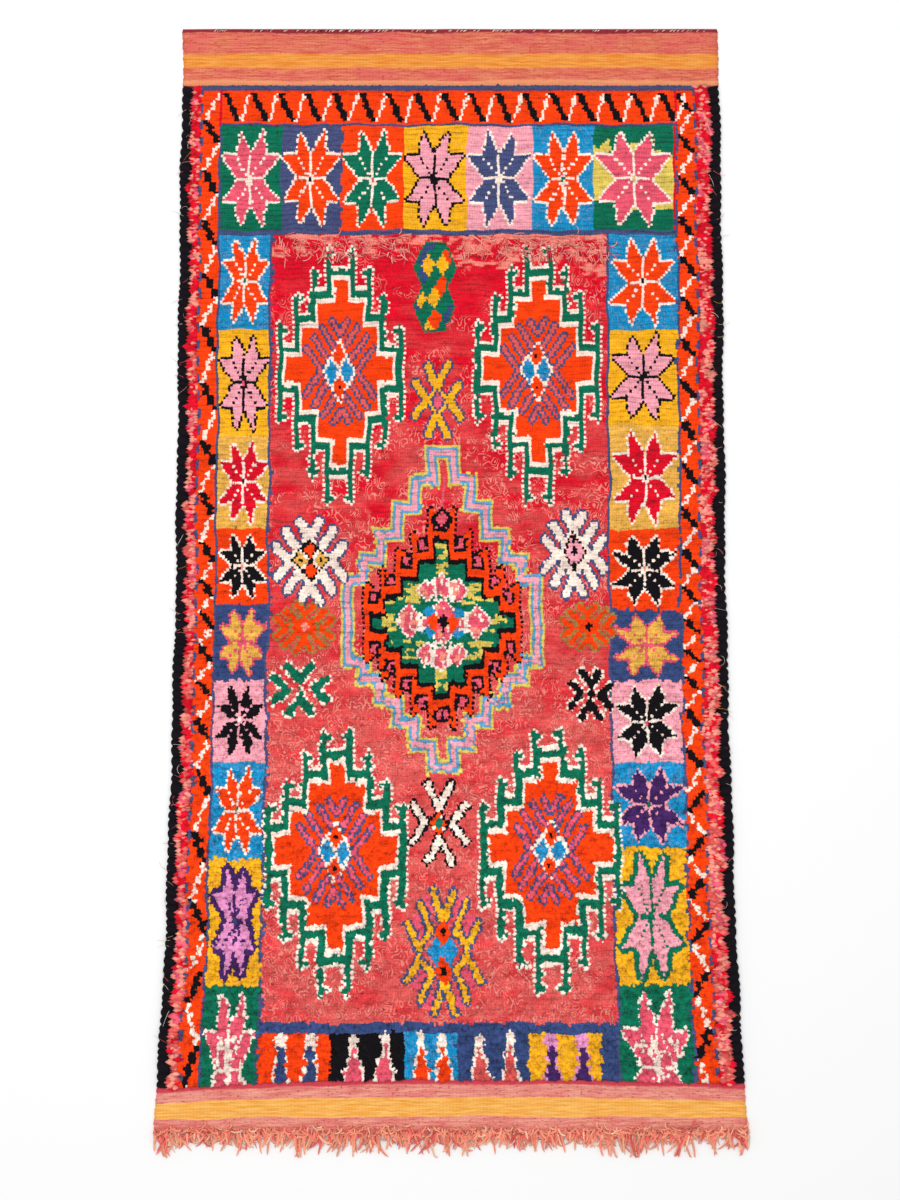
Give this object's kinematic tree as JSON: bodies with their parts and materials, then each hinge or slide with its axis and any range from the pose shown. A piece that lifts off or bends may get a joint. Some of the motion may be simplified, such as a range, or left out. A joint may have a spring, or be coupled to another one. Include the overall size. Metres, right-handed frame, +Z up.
{
  "type": "moroccan rug",
  "caption": "Flat hand-knotted wool floor rug with star boxes, stepped medallions, flat-woven striped ends, black overcast side cords and a short warp fringe.",
  "frame": {"origin": "on the floor under the middle of the rug's box, fringe included", "axes": "+X across the rug, +Y along its length from the fringed foot end to the head end, +Z up out of the pile"},
  "size_m": [1.3864, 2.7, 0.0151],
  "materials": {
    "rug_wool": "matte knotted wool pile in many dyed colours, with flat-woven ends",
    "black_wool": "matte thick overcast wool cord",
    "warp_wool": "matte loose warp ends"
  },
  "bodies": {
    "root": {"rug_body": "rug_wool", "left_side_cord": "black_wool", "right_side_cord": "black_wool", "foot_fringe": "warp_wool"}
  },
  "joints": []
}
